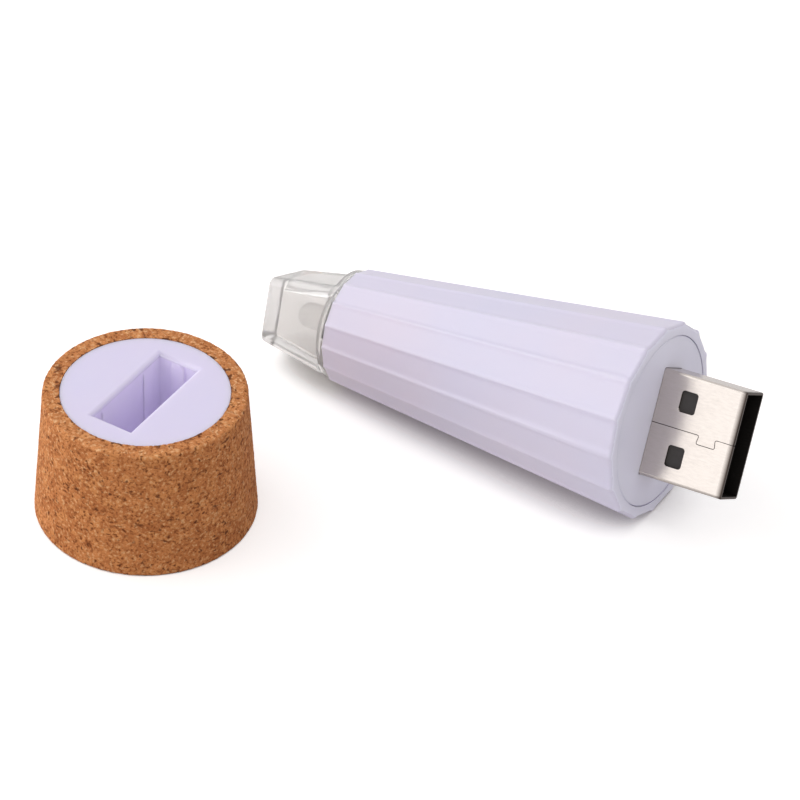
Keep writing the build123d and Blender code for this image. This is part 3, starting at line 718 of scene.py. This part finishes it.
bpy.ops.object.select_all(action="DESELECT")
bpy.ops.mesh.primitive_cylinder_add(vertices=CAP_SIDES, radius=CAP_BASE, depth=CAP_HEIGHT,
                                    location=(0.0, 0.0, CAP_HEIGHT / 2))
cork_body = bpy.context.object
cork_body.name = "cork_body"
bpy.ops.object.transform_apply(location=True, rotation=True, scale=True)
bpy.ops.object.mode_set(mode="EDIT")
choose("FACE", lambda face: face.normal.z > FACES_UP)
bpy.ops.transform.resize(value=(CAP_TOP / CAP_BASE, CAP_TOP / CAP_BASE, 1.0))
choose("EDGE", lambda edge: on_level(edge, 0.0) or on_level(edge, CAP_HEIGHT))
bpy.ops.mesh.bevel(offset=CAP_EDGE, segments=EDGE_SEGMENTS, affect="EDGES")
choose("FACE", lambda face: face.normal.z > FACES_UP and len(face.verts) == CAP_SIDES)
top_radius = max(vert.co.xy.length for vert in bmesh.from_edit_mesh(cork_body.data).verts if vert.select)
for ring in range(TOP_RINGS):
    bpy.ops.mesh.inset(thickness=(top_radius - BORE) / TOP_RINGS)
bpy.ops.mesh.extrude_region_move(TRANSFORM_OT_translate={"value": (0.0, 0.0, -BORE_DEPTH)})
bpy.ops.object.mode_set(mode="OBJECT")
print("cork blank:", len(cork_body.data.polygons), "faces, flat top out to", round(top_radius / MM, 2), "mm")

# %% [markdown]
# ## Cork cap: rows for relief
# The side is still one ring of long faces. Cutting its long edges gives rows about a quarter of a
# millimetre apart, fine enough for the granules, and insets do the same for the base.

# %% Cork rows
SIDE_ROWS = 64
BASE_RINGS = 22
LONG_EDGE = 5.0 * MM
PAST_BORE = 0.5 * MM


def on_side(edge):
    """True for the long upright edges of the cap's outer side."""
    first, second = edge.verts
    nearest = min(first.co.xy.length, second.co.xy.length)
    return abs(first.co.z - second.co.z) > LONG_EDGE and nearest > BORE + PAST_BORE


bpy.ops.object.mode_set(mode="EDIT")
choose("EDGE", on_side)
bpy.ops.mesh.subdivide(number_cuts=SIDE_ROWS)
choose("FACE", lambda face: face.normal.z < -FACES_UP and len(face.verts) == CAP_SIDES)
for ring in range(BASE_RINGS):
    bpy.ops.mesh.inset(thickness=(CAP_BASE - CAP_EDGE) / (BASE_RINGS + 1))
bpy.ops.object.mode_set(mode="OBJECT")
print("cork rows:", len(cork_body.data.polygons), "faces")

# %% [markdown]
# ## Cork cap: granules and pits
# Three layers of relief, all pressed inwards so that the cap keeps its size: shallow granules, a finer grain, and
# a few deep pits where a piece of bark has dropped out. Each is a Displace modifier with a procedural texture,
# applied at once. The bore stays clean, so that the insert still fits. How far each point sank is kept as an
# attribute, which later paints shade into the deep places.

# %% Cork relief
BORE_SLACK = 0.02 * MM
TOP_SLACK = 0.01 * MM
BASE_ZONE = 1.0 * MM
DEEP = 0.3 * MM
CORK_CRISP = math.radians(60.0)


def press_in(piece, name, kind, size, dark, pale, depth):
    """Sink the skin of a piece where a texture is dark. Its grain has a size, and its ramp two ends."""
    texture = bpy.data.textures.new(name, kind)
    texture.noise_scale = size
    texture.use_color_ramp = True
    texture.color_ramp.elements[0].position = dark
    texture.color_ramp.elements[0].color = (0.0, 0.0, 0.0, 1.0)
    texture.color_ramp.elements[1].position = pale
    relief = piece.modifiers.new(name, "DISPLACE")
    relief.texture = texture
    relief.texture_coords = "LOCAL"
    relief.vertex_group = "skin"
    relief.mid_level = 1.0
    relief.strength = depth
    bpy.ops.object.modifier_apply(modifier=relief.name)


def on_skin(place):
    """True for the points that relief may move: all but the wall and the floor of the bore."""
    return place.xy.length > BORE + BORE_SLACK or place.z < BASE_ZONE or place.z > CAP_HEIGHT - TOP_SLACK


skin = cork_body.vertex_groups.new(name="skin")
skin.add([vert.index for vert in cork_body.data.vertices if on_skin(vert.co)], 1.0, "REPLACE")
smooth_places = [vert.co.copy() for vert in cork_body.data.vertices]
bpy.ops.object.select_all(action="DESELECT")
cork_body.select_set(True)
bpy.context.view_layer.objects.active = cork_body
press_in(cork_body, "granules", "VORONOI", 0.9 * MM, 0.0, 1.0, 0.03 * MM)
press_in(cork_body, "grain", "CLOUDS", 0.34 * MM, 0.2, 0.8, 0.06 * MM)
press_in(cork_body, "pits", "CLOUDS", 0.60 * MM, 0.16, 0.30, 0.22 * MM)
sunk = cork_body.data.attributes.new("sunk", "FLOAT", "POINT")
depths = [(before - vert.co).length for before, vert in zip(smooth_places, cork_body.data.vertices)]
sunk.data.foreach_set("value", [depth / DEEP for depth in depths])
bpy.ops.object.shade_smooth_by_angle(angle=CORK_CRISP)
mean_depth = sum(depths) / len(depths)
print("cork relief: deepest", round(max(depths) / MM, 3), "mm, mean", round(mean_depth / MM, 3), "mm")

# %% [markdown]
# ## Cork finish: mosaic
# Seen close, cork is a mosaic: granules a millimetre across in ochre, orange and brown, with darker seams
# of binder between them, and in each a fine grain of pale flecks and dark ones. Cells of a Voronoi texture
# are the granules. Their coordinates are pushed about by noise, because plain cells have straight sides.
# Each further effect is a layer: a value says where it lies, and a colour is mixed in there.

# %% Cork mosaic
CORK_SHINE = 0.15
GRANULE_SCALE = 1000.0
WOBBLE_SCALE = 900.0
WOBBLE = 0.7 * MM
FINE_SCALE = 2700.0
OCHRE = (0.65, 0.25, 0.086)
BROWN = (0.48, 0.163, 0.051)
ORANGE = (0.70, 0.29, 0.10)
PALE_FLECK = (0.82, 0.46, 0.22)
DARK_FLECK = (0.20, 0.058, 0.017)
BINDER = (0.34, 0.112, 0.034)

cork, cork_tree, cork_shader = new_finish("cork")
cork_shader.inputs["Specular IOR Level"].default_value = CORK_SHINE
spot = cork_tree.nodes.new("ShaderNodeTexCoord").outputs["Object"]
warped = cork_tree.nodes.new("ShaderNodeVectorMath")
warped.operation = "MULTIPLY_ADD"
wobble = cork_tree.nodes.new("ShaderNodeTexNoise")
wobble.inputs["Scale"].default_value = WOBBLE_SCALE
cork_tree.links.new(spot, wobble.inputs["Vector"])
cork_tree.links.new(wobble.outputs["Color"], warped.inputs[0])
warped.inputs[1].default_value = (WOBBLE, WOBBLE, WOBBLE)
cork_tree.links.new(spot, warped.inputs[2])


def cells(feature):
    """Cell texture of the granules on the warped coordinates."""
    texture = cork_tree.nodes.new("ShaderNodeTexVoronoi")
    texture.feature = feature
    texture.inputs["Scale"].default_value = GRANULE_SCALE
    cork_tree.links.new(warped.outputs["Vector"], texture.inputs["Vector"])
    return texture.outputs


def layer(under, value, start, full, amount, shade):
    """Colour with a shade mixed in, from none where a value is at start to an amount where it is at full."""
    return blend(cork_tree, stretch(cork_tree, value, start, full, 0.0, amount), under, shade)


granule = cork_tree.nodes.new("ShaderNodeSeparateColor")
cork_tree.links.new(cells("F1")["Color"], granule.inputs["Color"])
fine = noise(cork_tree, spot, FINE_SCALE, 3.0, 0.6)
colour = blend(cork_tree, granule.outputs["Red"], OCHRE, BROWN)
colour = layer(colour, granule.outputs["Green"], 0.55, 1.0, 0.6, ORANGE)
colour = layer(colour, fine, 0.54, 0.68, 0.9, PALE_FLECK)
colour = layer(colour, fine, 0.46, 0.32, 0.95, DARK_FLECK)
colour = layer(colour, cells("DISTANCE_TO_EDGE")["Distance"], 0.10, 0.0, 0.35, BINDER)
print("cork mosaic: granules about", round(1.0 / GRANULE_SCALE / MM, 1), "mm")

# %% [markdown]
# ## Cork finish: dark places
# Pores of the bark are dark streaks that lie flat, so their noise is squeezed upwards. Woody specks are smaller
# and round. Near the bore the tool has torn out chips, which the distance from the cap's own axis brings on. The
# pits of the relief get painted shade from the attribute that was kept above, darker where they sank deeper.

# %% Cork dark places
PORE_SQUEEZE = (1.0, 1.0, 2.6)
PORE_SCALE = 750.0
SPECK_SCALE = 2100.0
CHIP_SCALE = 1200.0
CHIP_ZONE = 0.7 * MM
CHIP_MORE = 0.16
PORE = (0.13, 0.036, 0.012)
SPECK = (0.14, 0.042, 0.013)
CHIP = (0.12, 0.034, 0.011)
PIT_PAINTED_SHADE = (0.11, 0.032, 0.010)

lying = cork_tree.nodes.new("ShaderNodeMapping")
lying.inputs["Scale"].default_value = PORE_SQUEEZE
cork_tree.links.new(spot, lying.inputs["Vector"])
pores = noise(cork_tree, lying.outputs["Vector"], PORE_SCALE, 2.0, 0.5)
colour = layer(colour, pores, 0.35, 0.27, 0.85, PORE)
specks = noise(cork_tree, spot, SPECK_SCALE, 1.0, 0.4)
colour = layer(colour, specks, 0.36, 0.25, 0.9, SPECK)
flat_spot = cork_tree.nodes.new("ShaderNodeVectorMath")
flat_spot.operation = "MULTIPLY"
flat_spot.inputs[1].default_value = (1.0, 1.0, 0.0)
cork_tree.links.new(spot, flat_spot.inputs[0])
away = cork_tree.nodes.new("ShaderNodeVectorMath")
away.operation = "LENGTH"
cork_tree.links.new(flat_spot.outputs["Vector"], away.inputs[0])
bore_edge = stretch(cork_tree, away.outputs["Value"], BORE, BORE + CHIP_ZONE, CHIP_MORE, 0.0)
chips = maths(cork_tree, "SUBTRACT", noise(cork_tree, spot, CHIP_SCALE, 2.0, 0.5), bore_edge)
colour = layer(colour, chips, 0.34, 0.26, 0.9, CHIP)
# Painted shade in the pits, darker where the relief sank deeper.
sunk_value = cork_tree.nodes.new("ShaderNodeAttribute")
sunk_value.attribute_name = "sunk"
colour = layer(colour, sunk_value.outputs["Fac"], 0.35, 1.1, 0.75, PIT_PAINTED_SHADE)
print("cork nodes:", len(cork_tree.nodes))

# %% [markdown]
# ## Cork finish: tone
# The top face is freshly ground and paler than the side. The side gets painted shade that deepens towards +X, away
# from the key lamp, and the top face gets none. Multiplying the colour keeps the contrast of the grain, where
# mixing in a plain colour would wash it out. The fine grain also drives the roughness and a small bump.

# %% Cork tone
GROUND_FROM = CAP_HEIGHT - 0.35 * MM
GROUND_FULL = CAP_HEIGHT - 0.1 * MM
GROUND_TINT = (1.05, 1.10, 1.17)
SIDE_SHADE_TINT = (0.84, 0.83, 0.82)
ROUGH_DARK = 0.95
ROUGH_PALE = 0.75
GRAIN_RELIEF = 0.35
GRAIN_DEPTH = 0.12 * MM


def tint(tree, factor, colour, by):
    """Colour multiplied by plain numbers, as far as a factor says."""
    result = blend(tree, factor, colour, by)
    result.node.blend_type = "MULTIPLY"
    return result


place = cork_tree.nodes.new("ShaderNodeSeparateXYZ")
cork_tree.links.new(spot, place.inputs["Vector"])
ground = stretch(cork_tree, place.outputs["Z"], GROUND_FROM, GROUND_FULL)
colour = tint(cork_tree, ground, colour, GROUND_TINT)
# Painted shade: the side darkens towards +X, away from the key lamp.
across = stretch(cork_tree, place.outputs["X"], -CAP_BASE, CAP_BASE)
colour = tint(cork_tree, maths(cork_tree, "SUBTRACT", across, ground), colour, SIDE_SHADE_TINT)
cork_tree.links.new(colour, cork_shader.inputs["Base Color"])
rough = stretch(cork_tree, fine, NOISE_LOW, NOISE_HIGH, ROUGH_DARK, ROUGH_PALE)
cork_tree.links.new(rough, cork_shader.inputs["Roughness"])
bump(cork_tree, cork_shader, fine, GRAIN_RELIEF, GRAIN_DEPTH)
for wearer in (cork_body, nodes["cork_cap"]):
    wearer.data.materials.clear()
    wearer.data.materials.append(cork)
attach(cork_body, "cap")
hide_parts("cork_cap")
print("cork finish on", cork_body.name)

# %% [markdown]
# ## Sizes
# Both boxes are measured, and how far each side of the dressed part's box grows past the solids' box is printed.
# The dressed part has to stay inside the solids' box.

# %% Sizes
visual_box = [list(corner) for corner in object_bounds()]
growth = [round((new - old) / MM, 3) for end in (0, 1) for new, old in zip(visual_box[end], cad_box[end])]
print("size grows by", growth, "mm")
